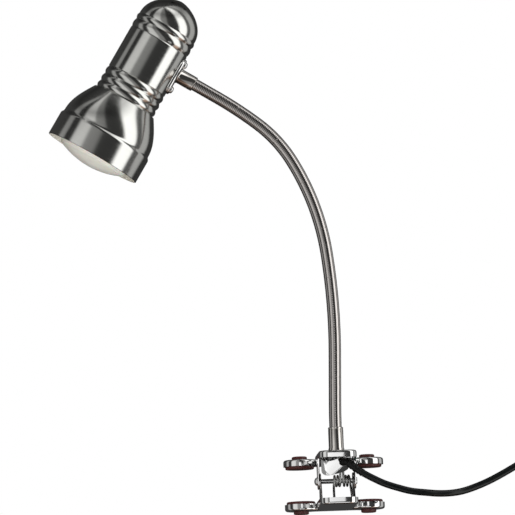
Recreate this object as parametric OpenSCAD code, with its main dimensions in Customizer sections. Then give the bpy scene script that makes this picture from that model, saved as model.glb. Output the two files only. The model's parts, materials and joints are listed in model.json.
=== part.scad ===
// Clip on reading lamp: a sprung board clamp, a bendable gooseneck and a spot head.
// The origin is the centre of the left upper pad's gripping face, on the board's top.
// X runs along the board's edge, +Y goes into the board and Z is up. All sizes are millimetres.

/* [Head] */
// Radius of the shade's open rim
rim_r = 40; // [38:0.5:44]
// Radius of the cylindrical body of the head
body_r = 25.5; // [25:0.5:27]
// Length of the head along its own axis
head_len = 144; // [140:1:150]
// Thickness of the drawn sheet
wall = 0.8; // [0.6:0.1:1]
// Distance from the dome's tip to the gooseneck's axis
neck_seat = 52.5; // [50:0.5:56]
// Distance from the head's axis to the end of the gooseneck
neck_reach = 41.5; // [40:0.5:46]
// Number of vent holes round the dome
vent_count = 8; // [4:1:12]

/* [Gooseneck] */
// Outside diameter of the wound hose
hose_d = 10; // [9:0.5:10]
// Height of the hose's lower end above the gripping plane
hose_base = 29; // [27:1:32]
// Length of each whole segment of the hose
seg_len = 39.9; // [36:0.1:44]
// Gap left between two segments for the bend
seg_gap = 3; // [2.5:0.5:4]
// Turn of the neck's plane about its foot
neck_yaw = -3; // [-10:1:10]

/* [Clamp] */
// Thickness of the board that the clamp holds
board = 26; // [20:1:30]
// Width over the two ears
clamp_w = 80; // [76:1:86]
// Radius of each ear
ear_r = 13; // [12:0.5:14]
// Width of the finger tongue
tongue_w = 30.6; // [29:0.2:33]
// Height from a pad's gripping face to the plate's outer face
plate_h = 7.6; // [7:0.2:9]
// Thickness of the clamp's sheet steel
sheet = 1.2; // [1:0.1:1.4]
// Depth of the plate's turned rim, with the sheet
rim_h = 5.4; // [4:0.2:5.6]
// Step up from the ears to the upper tongue
tongue_rise = 2; // [1:0.2:2.4]
// Radius of the pivot pin
pin_r = 1.9; // [1.6:0.1:2.2]

/* [Lead] */
// Diameter of the mains lead
cord_d = 5.5; // [5:0.5:6]
// Layers of turns in the stored coil
coil_layers = 2; // [2:1:3]
// Turns beside each other in one layer of the coil
coil_columns = 4; // [3:1:4]
// Radius of the stored coil at the middle of its turns
coil_mid_r = 31; // [28:1:33]
// Length of the hand switch
switch_len = 60; // [54:2:66]

/* [Hidden] */
$fn = 48;
cord_r = cord_d / 2;
hose_r = hose_d / 2;
bore_r = 3.1;
ear_x = clamp_w / 2 - ear_r;
tongue_end = -72;
tongue_root = -15;
upper_top = plate_h + tongue_rise;
lower_face = -board;
pin_at = [0, -39, -board / 2];
neck_y = -52;
stud_end = 3.4;
lead_foot = 1;

// Turn of each stretch of the hose, in degrees towards the head, from the foot up
neck_turns = [-2, 0, 4.5, 4.5, 11.5, 11.5, 21, 7, 0];
seg_count = len(neck_turns);
seg_lens = [for (i = [0:seg_count - 1]) i == 0 || i == seg_count - 1 ? seg_len / 2 : seg_len];

// Lean of the hose from the vertical where stretch i begins
function lean(i) = i == 0 ? 0 : lean(i - 1) + neck_turns[i - 1];
// Straight chord of an arc of that length and turn
function chord(len, turn) = turn == 0 ? len : 2 * len / (turn * PI / 180) * sin(turn / 2);
// Place in the neck's plane where stretch i begins
function foot(i) = i == 0 ? [0, hose_base]
    : foot(i - 1) + chord(seg_lens[i - 1], neck_turns[i - 1])
      * [-sin(lean(i - 1) + neck_turns[i - 1] / 2), cos(lean(i - 1) + neck_turns[i - 1] / 2)];

// Route of the lead's free run, from the strain relief to the hand switch
run_route = [
    [20, -61.6, -9], [28, -61.6, -13.5], [37, -62, -18], [47, -61.5, -21.5], [58, -60, -24.5],
    [70, -58, -26], [80, -55, -26.8], [90, -52, -26.6], [100, -48, -25], [111, -44.5, -21.5],
    [122, -41.5, -17], [133, -39, -11.5], [144, -36.8, -5.5], [154, -34.8, -0.2], [163, -33.2, 3],
    [171, -32.2, 3.7], [180, -31.5, 4.9], [190, -31.25, 7], [198, -31.25, 8]
];
// Route of the strain relief, up to where the free run starts
relief_route = [[3, -56, -0.4], [6.2, -59, 0.8], [10.2, -61.4, -1.6], [15, -61.9, -5.4]];
// Route from the hand switch to the coil
link_route = [
    [258, -31.25, 8], [266, -31.25, 7], [274, -31.25, 5], [282, -31.25, 3.2], [290, -31.25, 2.75]
];
// Route from the coil to the plug
tail_route = [
    [290, 47.25, 8.25], [281, 47, 8.25], [272, 45.6, 8.25], [263, 42.6, 8.1], [254, 38.3, 7.7],
    [245, 33.9, 7.3], [236, 30.9, 7.05], [228, 30, 7]
];
coil_at = [290, 8, 0];
switch_at = [198, -31.25, 8];
plug_at = [228, 30, 7];

// ---- curves -------------------------------------------------------------

function unit(v) = v / norm(v);

// One point of the smooth curve through the points p, in stretch i at t from 0 to 1
function curve_point(p, i, t) =
    let (a = p[max(i - 1, 0)], b = p[i], c = p[i + 1], d = p[min(i + 2, len(p) - 1)])
    0.5 * ((2 * b) + (c - a) * t + (2 * a - 5 * b + 4 * c - d) * t * t
           + (3 * b - a - 3 * c + d) * t * t * t);

// The curve through p, with n steps in each stretch
function curve(p, n) = [
    for (i = [0:len(p) - 2]) for (j = [0:n - 1]) curve_point(p, i, j / n),
    p[len(p) - 1]
];

function along(p, i) = unit(p[min(i + 1, len(p) - 1)] - p[max(i - 1, 0)]);
function square_to(v, t) = unit(v - (v * t) * t);

// Sideways directions that turn as little as they can along the points p
function sides_of(p, first) = [
    for (i = 0, s = square_to(first, along(p, 0)); i < len(p);
         i = i + 1, s = i < len(p) ? square_to(s, along(p, i)) : s) s
];

// A round tube through the points p, closed at both ends. r is its radius, or one for each point
module tube_along(p, r, n = 8, first = [0, 0, 1]) {
    s = sides_of(p, first);
    rings = len(p);
    points = [
        for (i = [0:rings - 1]) let (b = cross(along(p, i), s[i]))
            for (k = [0:n - 1])
                p[i] + (is_list(r) ? r[i] : r) * (cos(360 * k / n) * s[i] + sin(360 * k / n) * b)
    ];
    walls = [
        for (i = [0:rings - 2]) for (k = [0:n - 1]) let (a = i * n + k, b = i * n + (k + 1) % n)
            each [[a, b + n, b], [a, a + n, b + n]]
    ];
    caps = [[for (k = [0:n - 1]) k], [for (k = [n - 1:-1:0]) (rings - 1) * n + k]];
    polyhedron(points = points, faces = concat(caps, walls), convexity = 8);
}

// ---- places ---------------------------------------------------------------

// The clamp's middle plane, between its two pads
module in_clamp() {
    translate([ear_x, 0, 0]) children();
}

// The upright plane that the gooseneck bends in
module in_neck_plane() {
    translate([0, neck_y, 0]) rotate([0, 0, neck_yaw]) children();
}

// The place and lean where stretch i of the hose begins, with +Z along the hose
module at_foot(i) {
    in_neck_plane() translate([foot(i)[0], 0, foot(i)[1]]) rotate([0, -lean(i), 0]) children();
}

// The head's own frame: origin at the dome's tip, +Z to the rim, the gooseneck at -X
module in_head() {
    at_foot(seg_count) translate([0, 0, neck_reach]) rotate([0, -90, 0])
        translate([0, 0, -neck_seat]) children();
}

module at_pin() {
    translate(pin_at) rotate([0, 90, 0]) children();
}

// ---- head ----------------------------------------------------------------

dome_len = 23;
dome_power = 1.25;
cap_end = 29.2;
spigot_end = 36;
flare_start = 92.4;
flare_end = 121;
rim_start = 125;
bead_h = 0.9;
spigot_r = body_r - 2.2;
vent_r = 1.2;
vent_lean = 142;

// Outline points of one rounded bead between two places along the axis
function bead(a, b, r, h, n = 6) = [for (i = [0:n]) [r + h * sin(180 * i / n), a + (b - a) * i / n]];
// Outline of the flare, a quarter of a sine wave
function flare(r0, r1, n = 12) = [
    for (i = [0:n]) [r0 + (r1 - r0) * sin(90 * i / n), flare_start + (flare_end - flare_start) * i / n]
];

cap_outline = concat(
    [for (a = [0:7.5:82.5]) [(body_r - 0.4) * pow(sin(a), dome_power), dome_len * (1 - cos(a))]],
    [[body_r - 0.4, dome_len]],
    bead(24, cap_end, body_r - 0.5, bead_h)
);

shade_outline = concat(
    bead(cap_end, 36.4, body_r - 0.5, bead_h),
    [[body_r, 37.2], [body_r, 72.4]],
    bead(73.2, 79.6, body_r - 0.6, 1.1),
    bead(80, 86, body_r - 0.5, 1.1),
    bead(86.4, flare_start - 0.4, body_r - 0.3, 1),
    flare(27, rim_r - 1.6),
    [[rim_r - 1.2, 122.4], [rim_r - 0.2, 124.2], [rim_r, rim_start], [rim_r, head_len]]
);

// A turned shell: the outline outside and the same outline less the wall inside
module shell(outline, t) {
    inner = [for (i = [len(outline) - 1:-1:0]) [outline[i][0] - t, outline[i][1]]];
    rotate_extrude() polygon(concat(outline, inner));
}

module end_cap() {
    color("silver") in_clamp() in_head() difference() {
        rotate_extrude() polygon(concat(
            cap_outline,
            [[spigot_r + wall, cap_end], [spigot_r + wall, spigot_end], [spigot_r, spigot_end]],
            [[spigot_r, dome_len]],
            [for (a = [82.5:-7.5:0])
                [spigot_r * pow(sin(a), dome_power), dome_len - (dome_len - wall) * cos(a)]]
        ));
        for (i = [0:vent_count - 1]) rotate([0, 0, 360 * (i + 0.5) / vent_count])
            translate([0, 0, dome_len]) rotate([0, vent_lean, 0]) cylinder(r = vent_r, h = 40, $fn = 24);
    }
}

module shade() {
    color("silver") in_clamp() in_head() difference() {
        shell(shade_outline, wall);
        translate([0, 0, neck_seat]) rotate([0, -90, 0]) cylinder(r = stud_r + 0.1, h = 40);
        for (z = bracket_screw_z) translate([0, 0, z]) rotate([0, -90, 0]) cylinder(r = 1.5, h = 40);
    }
}

// ---- neck mounting ---------------------------------------------------------

stud_r = 4.9;
ferrule_r = 6;
bracket_t = 1.8;
bracket_w = 13;
bracket_z = [38.8, 70];
bracket_screw_z = [43.3, 65.5];

module neck_bracket() {
    color("gainsboro") in_clamp() in_head() difference() {
        intersection() {
            difference() {
                cylinder(r = body_r + bracket_t, h = 90);
                cylinder(r = body_r, h = 90);
            }
            rotate([0, -90, 0]) linear_extrude(40) union() {
                translate([bracket_z[0] + bracket_w / 2, -bracket_w / 2])
                    square([bracket_z[1] - bracket_z[0] - bracket_w, bracket_w]);
                for (z = [bracket_z[0] + bracket_w / 2, bracket_z[1] - bracket_w / 2])
                    translate([z, 0]) circle(r = bracket_w / 2);
            }
        }
        translate([0, 0, neck_seat]) rotate([0, -90, 0]) cylinder(r = stud_r + 0.1, h = 40);
        for (z = bracket_screw_z) translate([0, 0, z]) rotate([0, -90, 0]) cylinder(r = 1.5, h = 40);
    }
}

module bracket_screws() {
    color("gainsboro") in_clamp() in_head() for (z = bracket_screw_z)
        translate([-body_r - bracket_t, 0, z]) rotate([0, -90, 0]) rotate_extrude() polygon(concat(
            [[0, -5], [1.4, -5], [1.4, 0], [2.8, 0]],
            [for (a = [0:15:90]) [2.8 * cos(a), 0.4 + 1.5 * sin(a)]]
        ));
}

module head_ferrule() {
    color("silver") in_clamp() in_head() translate([-neck_reach, 0, neck_seat]) rotate([0, 90, 0])
        difference() {
            union() {
                cylinder(r = ferrule_r, h = neck_reach - body_r - bracket_t);
                cylinder(r = stud_r, h = neck_reach - 21);
            }
            translate([0, 0, -1]) cylinder(r = bore_r, h = neck_reach);
        }
}

module head_locknut() {
    color("silver") in_clamp() in_head() translate([-body_r + wall + 1.2, 0, neck_seat]) rotate([0, 90, 0])
        difference() {
            cylinder(r = 7, h = 2.4, $fn = 6);
            translate([0, 0, -1]) cylinder(r = stud_r, h = 5);
        }
}

// ---- lampholder and bulb --------------------------------------------------

strap_z = 32;
strap_w = 14;
strap_t = 1.2;
holder_z = [38, 74];
holder_r = 17.5;
nipple_r = 4.9;

// The strap across the spigot, with its turned-up ends spot-welded inside it
module holder_strap() {
    color("silver") in_clamp() in_head() difference() {
        intersection() {
            translate([-strap_w / 2, -spigot_r, strap_z])
                cube([strap_w, 2 * spigot_r, spigot_end - strap_z]);
            cylinder(r = spigot_r, h = spigot_end);
        }
        translate([-strap_w, -spigot_r + 1.6, strap_z + strap_t])
            cube([2 * strap_w, 2 * (spigot_r - 1.6), 10]);
        translate([0, 0, strap_z - 1]) cylinder(r = nipple_r + 0.1, h = 4);
    }
}

module holder_nipple() {
    color("gold") in_clamp() in_head() difference() {
        translate([0, 0, 27]) cylinder(r = nipple_r, h = 14.5);
        translate([0, 0, 26]) cylinder(r = 3.4, h = 17);
    }
}

module holder_nut() {
    color("gold") in_clamp() in_head() difference() {
        translate([0, 0, strap_z - 3]) cylinder(r = 7, h = 3, $fn = 6);
        translate([0, 0, 20]) cylinder(r = nipple_r, h = 20);
    }
}

module lampholder_shell() {
    color("white") in_clamp() in_head() difference() {
        union() {
            translate([0, 0, holder_z[0] - 4.8]) cylinder(r = 8.5, h = 5);
            translate([0, 0, holder_z[0]]) cylinder(r = holder_r, h = holder_z[1] - holder_z[0]);
        }
        translate([0, 0, holder_z[0] + 3]) cylinder(r = holder_r - 2.2, h = 40);
        translate([0, 0, 20]) cylinder(r = nipple_r, h = 30);
        translate([-11, 0, 30]) cylinder(r = 2, h = 30);
    }
}

module contact_block() {
    color("ivory") in_clamp() in_head() difference() {
        translate([0, 0, holder_z[0] + 3.6]) cylinder(r = holder_r - 2.3, h = 4);
        translate([-11, 0, 30]) cylinder(r = 2, h = 30);
        for (s = [-1, 1]) translate([5, s * 9, 40]) cylinder(r = 1.5, h = 8);
    }
}

module terminal_screws() {
    color("gold") in_clamp() in_head() for (s = [-1, 1]) translate([5, s * 9, holder_z[0] + 4]) union() {
        cylinder(r = 1.4, h = 4);
        translate([0, 0, 3.6]) cylinder(r = 2.4, h = 1.4);
    }
}

module screw_shell() {
    color("gold") in_clamp() in_head() difference() {
        translate([0, 0, 48]) cylinder(r = 14.4, h = 25);
        translate([0, 0, 49]) cylinder(r = 13.7, h = 30);
        translate([0, 0, 47]) cylinder(r = 7.5, h = 5);
    }
}

module centre_contact() {
    color("gold") in_clamp() in_head() union() {
        translate([-3, -2.5, 45.6]) cube([10, 5, 0.6]);
        translate([-3, -2.5, 45.6]) cube([0.6, 5, 3]);
        translate([-3, -2.5, 48]) cube([6, 5, 0.5]);
    }
}

bulb_tip = 48.7;
crown = 151.2;
crown_r = 66;
bulb_max = 31.5;
bulb_neck = 13.2;
glass_neck = 74.6;
glass_wide = 137;
glass_t = 0.9;

// Outline of a reflector bulb's glass that is thinner than the outer one by t
function glass(t) = concat(
    [for (i = [0:12])
        [bulb_neck - t + (bulb_max - bulb_neck) * (0.35 * i / 12 + 0.65 * (1 - cos(7.5 * i))),
         glass_neck + (glass_wide - 3 - glass_neck) * i / 12]],
    [for (a = [0:15:60]) [bulb_max - t - 3.5 + 3.5 * cos(a), glass_wide + (6 - t) * sin(a)]],
    [for (a = [26:-3.25:0]) [(crown_r - t) * sin(a), crown - crown_r + (crown_r - t) * cos(a)]]
);

module bulb_glass() {
    inner = glass(glass_t);
    color("ivory") in_clamp() in_head() rotate_extrude()
        polygon(concat(glass(0), [for (i = [len(inner) - 1:-1:0]) inner[i]]));
}

module bulb_cap() {
    color("silver") in_clamp() in_head() difference() {
        union() {
            translate([0, 0, 51]) cylinder(r1 = 10, r2 = 12.9, h = 2);
            translate([0, 0, 53]) cylinder(r = 12.9, h = glass_neck - 53);
        }
        translate([0, 0, 54]) cylinder(r = 12.4, h = 30);
        translate([0, 0, 50]) cylinder(r = 6, h = 5);
    }
}

module bulb_contact() {
    color("dimgray") in_clamp() in_head() union() {
        translate([0, 0, bulb_tip]) cylinder(r = 4.6, h = 1);
        translate([0, 0, bulb_tip + 1]) cylinder(r = 6, h = 54 - bulb_tip - 1);
    }
}

core_r = 0.85;
core_route = [
    [-25, neck_seat], [-21.4, neck_seat], [-20.2, 51.8], [-19.5, 50.4], [-19.3, 48], [-19.3, 43],
    [-19.3, 39], [-18.9, 37.2], [-17.6, 35.9], [-15.6, 35.4], [-13.4, 35.5], [-11.8, 36.2], [-11.1, 37.6],
    [-11, 40], [-11, 46.6]
];

// Two bare cores that carry on from the lead's sheath to the lampholder's terminals
module lead_cores() {
    color("saddlebrown") in_clamp() in_head() for (s = [-1, 1])
        tube_along([for (p = core_route) [p[0], s, p[1]]], core_r, 8);
}

// ---- gooseneck --------------------------------------------------------------

// An arc of stretch i, of outer radius r, cut short by half the gap at each bend
module stretch(i, r, hole, gap) {
    low = i == 0 ? 0 : gap / 2;
    high = i == seg_count - 1 ? 0 : gap / 2;
    len = seg_lens[i];
    turn = neck_turns[i];
    at_foot(i) if (turn == 0) translate([0, 0, low]) difference() {
        cylinder(r = r, h = len - low - high);
        if (hole > 0) translate([0, 0, -1]) cylinder(r = hole, h = len + 2);
    } else {
        bend_r = len / (abs(turn) * PI / 180);
        side = turn > 0 ? -1 : 1;
        from = low / bend_r * 180 / PI;
        to = abs(turn) - high / bend_r * 180 / PI;
        mirror([side > 0 ? 1 : 0, 0, 0]) translate([-bend_r, 0, 0]) rotate([90, 0, 0])
            rotate([0, 0, from]) rotate_extrude(angle = to - from, $fn = 96)
                translate([bend_r, 0]) difference() {
                    circle(r = r);
                    if (hole > 0) circle(r = hole);
                }
    }
}

module hose(i) {
    color("darkgray") in_clamp() stretch(i, hose_r, bore_r, seg_gap);
}

module lead(i) {
    color("dimgray") in_clamp() stretch(i, cord_r, 0, seg_gap);
}

module lead_lower() {
    color("dimgray") in_clamp() union() {
        stretch(0, cord_r, 0, seg_gap);
        in_neck_plane() translate([0, 0, lead_foot]) cylinder(r = cord_r, h = hose_base - lead_foot);
    }
}

module lead_upper() {
    color("dimgray") in_clamp() union() {
        stretch(seg_count - 1, cord_r, 0, seg_gap);
        at_foot(seg_count) cylinder(r = cord_r, h = neck_reach - 25);
    }
}

module base_ferrule() {
    color("silver") in_clamp() in_neck_plane() difference() {
        union() {
            translate([0, 0, upper_top]) cylinder(r = ferrule_r, h = hose_base - upper_top);
            translate([0, 0, stud_end]) cylinder(r = stud_r, h = upper_top - stud_end);
        }
        translate([0, 0, -1]) cylinder(r = bore_r, h = hose_base + 4);
    }
}

module base_locknut() {
    color("silver") in_clamp() in_neck_plane() difference() {
        translate([0, 0, upper_top - sheet - 3.4]) cylinder(r = 6.8, h = 3.4, $fn = 6);
        cylinder(r = stud_r, h = 20);
    }
}

// ---- clamp ----------------------------------------------------------------

flange_t = 1.2;
flange_r = 6.5;
flange_y = [-58, -31];
pad_r = 11.5;
button_r = 6.1;
button_h = 2.7;

module ears(inset) {
    for (s = [-1, 1]) translate([s * ear_x, 0]) circle(r = ear_r - inset);
    square([2 * ear_x, 17 - 2 * inset], center = true);
}

module tongue(inset, end = 9) {
    corner = 8 - inset;
    half = tongue_w / 2 - inset;
    translate([-half, tongue_end + 8]) square([2 * half, end - tongue_end - 8]);
    translate([-half + corner, tongue_end + inset]) square([2 * (half - corner), 12]);
    for (s = [-1, 1]) translate([s * (half - corner), tongue_end + 8]) circle(r = corner);
}

// One stamped plate, gripping downwards at z = 0, with its tongue raised by rise
module jaw_plate(rise, flange_x) {
    pivot_drop = board / 2;
    top = plate_h + rise;
    difference() {
        union() {
            // The ears and the bridge between them, with their turned rim
            difference() {
                translate([0, 0, plate_h - rim_h]) linear_extrude(rim_h) ears(0);
                translate([0, 0, plate_h - rim_h - 1]) linear_extrude(rim_h - sheet + 1) ears(sheet);
                translate([-tongue_w / 2 + sheet, -20, -1])
                    cube([tongue_w - 2 * sheet, 20, plate_h - sheet + 1]);
            }
            // The finger tongue
            difference() {
                translate([0, 0, top - rim_h]) linear_extrude(rim_h)
                    tongue(0, tongue_root);
                translate([0, 0, top - rim_h - 1]) linear_extrude(rim_h - sheet + 1)
                    tongue(sheet, tongue_root + 1);
            }
            // The step between the two levels
            translate([-tongue_w / 2, tongue_root - sheet, plate_h - sheet])
                cube([tongue_w, sheet, rise + sheet]);
            translate([-tongue_w / 2, tongue_root - sheet, plate_h - sheet])
                cube([tongue_w, -tongue_root + sheet, sheet]);
            for (s = [-1, 1])
                translate([s * (tongue_w - sheet) / 2 - sheet / 2, tongue_root - 1, plate_h - rim_h])
                    cube([sheet, 9, rim_h]);
            // The lugs that carry the pin
            for (s = [-1, 1]) translate([s * flange_x - flange_t / 2, 0, 0])
                rotate([90, 0, 90]) linear_extrude(flange_t) polygon(concat(
                    [[flange_y[1], top - sheet], [flange_y[0], top - sheet], [flange_y[0] + 4, top - 6]],
                    [for (a = [200:20:340])
                        [pin_at[1] + flange_r * cos(a), -pivot_drop + flange_r * sin(a)]],
                    [[flange_y[1], top - 6]]
                ));
        }
        for (s = [-1, 1]) translate([s * ear_x, 0, -1]) cylinder(r = 4.4, h = 20);
        translate([-30, pin_at[1], -pivot_drop]) rotate([0, 90, 0]) cylinder(r = pin_r + 0.05, h = 60);
    }
}

upper_flange_x = tongue_w / 2 - flange_t / 2;
lower_flange_x = upper_flange_x - flange_t - 0.3;

// The web below the tongue
web_y = -58.5;
web_t = 1;
web_outline = [
    [-13, upper_top - sheet], [-13, -6], [-11, -8.8], [-8, -9.6], [-4, -9.2], [1, -8.4], [6, -6.7],
    [9, -4], [9.5, 0], [12, 3], [12, upper_top - sheet]
];
web_hole_r = 5;

// The web with its hole for the lead's boot
module web() {
    difference() {
        translate([0, web_y, 0]) rotate([90, 0, 0]) linear_extrude(web_t) polygon(web_outline);
        translate([6.2, -59, 0.8]) rotate([0, 115, -37]) cylinder(r = web_hole_r, h = 40, center = true);
    }
}

module upper_jaw() {
    color("gainsboro") in_clamp() difference() {
        union() {
            jaw_plate(tongue_rise, upper_flange_x);
            web();
        }
        in_neck_plane() cylinder(r = stud_r + 0.1, h = 30);
    }
}

module lower_jaw() {
    color("gainsboro") in_clamp() translate([0, 0, lower_face]) mirror([0, 0, 1])
        jaw_plate(0, lower_flange_x);
}

// A rubber pad: a gripping disc below the plate, a waist through it and a button above it
module pad() {
    union() {
        cylinder(r = pad_r, h = plate_h - sheet);
        cylinder(r = 4.3, h = plate_h + 0.5);
        translate([0, 0, plate_h]) rotate_extrude() polygon([
            [0, 0], [button_r, 0], [button_r, button_h - 1], [button_r - 0.3, button_h - 0.3],
            [button_r - 1, button_h], [0, button_h]
        ]);
    }
}

module upper_pads() {
    color("saddlebrown") in_clamp() for (s = [-1, 1]) translate([s * ear_x, 0, 0]) pad();
}

module lower_pads() {
    color("saddlebrown") in_clamp() for (s = [-1, 1]) translate([s * ear_x, 0, lower_face])
        mirror([0, 0, 1]) pad();
}

module pivot_pin() {
    head = tongue_w / 2 + 0.1;
    color("silver") in_clamp() at_pin() union() {
        translate([0, 0, -head]) cylinder(r = pin_r, h = 2 * head);
        translate([0, 0, -head]) rotate([180, 0, 0]) rotate_extrude() polygon(concat(
            [[0, 0]], [for (a = [0:15:90]) [3.4 * cos(a), 2.4 * sin(a)]]));
        translate([0, 0, head]) cylinder(r1 = 3, r2 = 2.4, h = 1);
    }
}

spring_wire = 1;
spring_r = 4;
spring_turns = 2;
spring_x = 4;
spring_half = 6.2;
loop_half = 1.2;
spring_steps = spring_turns * 12;
upper_leg_z = upper_top - sheet - spring_wire - 0.15;
lower_leg_z = lower_face - plate_h + sheet + spring_wire + 0.15;

// The left half: a leg on the lower tongue, the winding, and half of the loop under the upper plate
spring_left = concat(
    [[-spring_half - 1.2, -60, lower_leg_z], [-spring_half - 1.1, -56, lower_leg_z + 0.6],
     [-spring_half - 0.6, pin_at[1] - spring_r - 1.6, pin_at[2] - 6]],
    [for (i = [0:spring_steps]) let (a = 180 - 30 * i)
        [-spring_half + (spring_half - loop_half) * i / spring_steps,
         pin_at[1] + spring_r * cos(a), pin_at[2] + spring_r * sin(a)]],
    [[-loop_half, -43, -9], [-loop_half, -42.6, -2], [-loop_half, -42.2, 5], [-0.7, -42, upper_leg_z]]
);
// The right half mirrors it
spring_last = len(spring_left) - 1;
spring_line = concat(
    spring_left,
    [for (i = [spring_last:-1:0]) [-spring_left[i][0], spring_left[i][1], spring_left[i][2]]]
);

module jaw_spring() {
    color("silver") in_clamp() translate([spring_x, 0, 0])
        tube_along(spring_line, spring_wire, 8, [1, 0, 0]);
}

// ---- mains lead -------------------------------------------------------------

elbow_r = 5.2;
elbow_z = -0.9;

// The rubber elbow that turns the lead out of the hollow stud
module cable_elbow() {
    color("black") in_clamp() difference() {
        union() {
            in_neck_plane() translate([0, 0, elbow_z]) cylinder(r = elbow_r - 0.2, h = stud_end - elbow_z);
            translate([0, neck_y, elbow_z]) sphere(r = elbow_r);
        }
        in_neck_plane() translate([0, 0, lead_foot]) cylinder(r = cord_r, h = 8);
    }
}

// A tapered boot from the elbow to where the lead runs free
module strain_relief() {
    route = curve(concat(relief_route, [run_route[0]]), 2);
    last = len(route) - 1;
    color("black") in_clamp() tube_along(route, [for (i = [0:last]) 3.7 - 0.7 * i / last], 12);
}

module cord_run() {
    color("black") in_clamp() tube_along(run_route, cord_r, 8);
}

module cord_link() {
    color("black") in_clamp() tube_along(link_route, cord_r, 8);
}

module cord_tail() {
    color("black") in_clamp() tube_along(tail_route, cord_r, 8);
}

coil_h = coil_layers * cord_d;
coil_half = coil_columns * cord_d / 2;

module cord_coil() {
    color("black") in_clamp() translate(coil_at) rotate_extrude(convexity = 4)
        translate([coil_mid_r - coil_half, 0]) square([2 * coil_half, coil_h]);
}

// The tie loops round the bundle of turns at one place
module coil_tie() {
    reach = coil_half + 0.05;
    color("dimgray") in_clamp() translate(coil_at + [coil_mid_r, 0, 0]) difference() {
        translate([-reach - 1.2, -3, 0.05]) cube([2 * reach + 2.4, 6, coil_h + 1.2]);
        translate([-reach, -4, -1]) cube([2 * reach, 8, coil_h + 1.05]);
    }
}

// ---- hand switch and plug ----------------------------------------------------

switch_w = 25;
switch_h = 17;
switch_split = 8;
rocker_size = [17, 9, 6];
rocker_pivot = [switch_at[0] + switch_len / 2, switch_at[1], 13];
skin = 1.6;

// Plan of the switch: two round ends and a body
module switch_plan(inset = 0) {
    for (x = [9, switch_len - 9]) translate([x, 0]) circle(r = 9 - inset);
    translate([9, -switch_w / 2 + inset]) square([switch_len - 18, switch_w - 2 * inset]);
}

module switch_half(low, high) {
    translate([switch_at[0], switch_at[1], low]) linear_extrude(high - low) switch_plan();
}

// Places of the two screws that hold the halves of the switch together
switch_screw_at = [for (s = [-1, 1]) [switch_at[0] + switch_len / 2 + s * 16, switch_at[1] + s * 7]];
screw_sink = 1.2;
screw_r = 1.1;

module switch_cord_hole() {
    translate([switch_at[0] - 1, switch_at[1], switch_at[2]]) rotate([0, 90, 0])
        cylinder(r = cord_r, h = switch_len + 2);
}

module switch_base() {
    color("black") in_clamp() difference() {
        switch_half(0, switch_split);
        translate([switch_at[0], switch_at[1], skin]) linear_extrude(20) switch_plan(skin);
        switch_cord_hole();
        for (p = switch_screw_at) translate([p[0], p[1], -1]) union() {
            cylinder(r = 2 * screw_r + 0.1, h = screw_sink + 1);
            cylinder(r = screw_r + 0.1, h = 10);
        }
    }
}

module switch_cover() {
    slot = [rocker_size[0] + 1.8, rocker_size[1] + 0.8, 20];
    color("black") in_clamp() difference() {
        switch_half(switch_split, switch_h);
        difference() {
            translate([switch_at[0], switch_at[1], switch_split - 1])
                linear_extrude(switch_h - switch_split + 1 - skin) switch_plan(skin);
            for (p = switch_screw_at) translate([p[0], p[1], 0]) cylinder(r = 2.6, h = 20);
        }
        translate([rocker_pivot[0] - slot[0] / 2, rocker_pivot[1] - slot[1] / 2, 11]) cube(slot);
        switch_cord_hole();
        for (p = switch_screw_at) translate([p[0], p[1], 0]) cylinder(r = screw_r, h = 13);
    }
}

rocker_tilt = 8;

module switch_rocker() {
    color("dimgray") in_clamp() translate(rocker_pivot) rotate([0, rocker_tilt, 0]) difference() {
        translate([-rocker_size[0] / 2, -rocker_size[1] / 2, -1]) cube(rocker_size);
        translate([0, -10, 28]) rotate([-90, 0, 0]) cylinder(r = 24, h = 20, $fn = 96);
    }
}

module switch_screws() {
    color("silver") in_clamp() for (p = switch_screw_at) translate([p[0], p[1], 0.2]) union() {
        cylinder(r = 2 * screw_r, h = screw_sink - 0.2);
        cylinder(r = screw_r, h = 12);
    }
}

plug_len = 36;
plug_h = 14;
pin_len = 19;
pin_gap = 18.6;
contact_r = 2;
root_r = 1.6;
root_len = 7;

module plug_body() {
    color("black") in_clamp() difference() {
        translate([plug_at[0] - plug_len, plug_at[1], 0]) linear_extrude(plug_h) polygon([
            [0, -17.7], [8, -17.7], [22, -11], [plug_len, -6], [plug_len, 6], [22, 11], [8, 17.7], [0, 17.7]
        ]);
        for (s = [-1, 1])
            translate([plug_at[0] - plug_len - 1, plug_at[1] + s * pin_gap / 2, plug_at[2]])
                rotate([0, 90, 0]) cylinder(r = root_r, h = root_len + 1);
    }
}

module plug_pins() {
    color("silver") in_clamp() for (s = [-1, 1])
        translate([plug_at[0] - plug_len - pin_len, plug_at[1] + s * pin_gap / 2, plug_at[2]])
            rotate([0, 90, 0]) union() {
                cylinder(r = contact_r, h = pin_len);
                cylinder(r = root_r, h = pin_len + root_len);
            }
}

end_cap();
shade();
neck_bracket();
bracket_screws();
head_ferrule();
head_locknut();
holder_strap();
holder_nipple();
holder_nut();
lampholder_shell();
contact_block();
terminal_screws();
screw_shell();
centre_contact();
lead_cores();
bulb_glass();
bulb_cap();
bulb_contact();
for (i = [0:seg_count - 1]) hose(i);
lead_lower();  // lead_0
for (i = [1:seg_count - 2]) lead(i);
lead_upper();
base_ferrule();
base_locknut();
cable_elbow();
upper_jaw();
upper_pads();
lower_jaw();
lower_pads();
pivot_pin();
jaw_spring();
strain_relief();
cord_run();
cord_link();
cord_coil();
coil_tie();
cord_tail();
switch_base();
switch_cover();
switch_rocker();
switch_screws();
plug_body();
plug_pins();
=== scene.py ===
import json
import math

import bmesh
import bpy
from mathutils import Matrix, Vector


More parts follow.
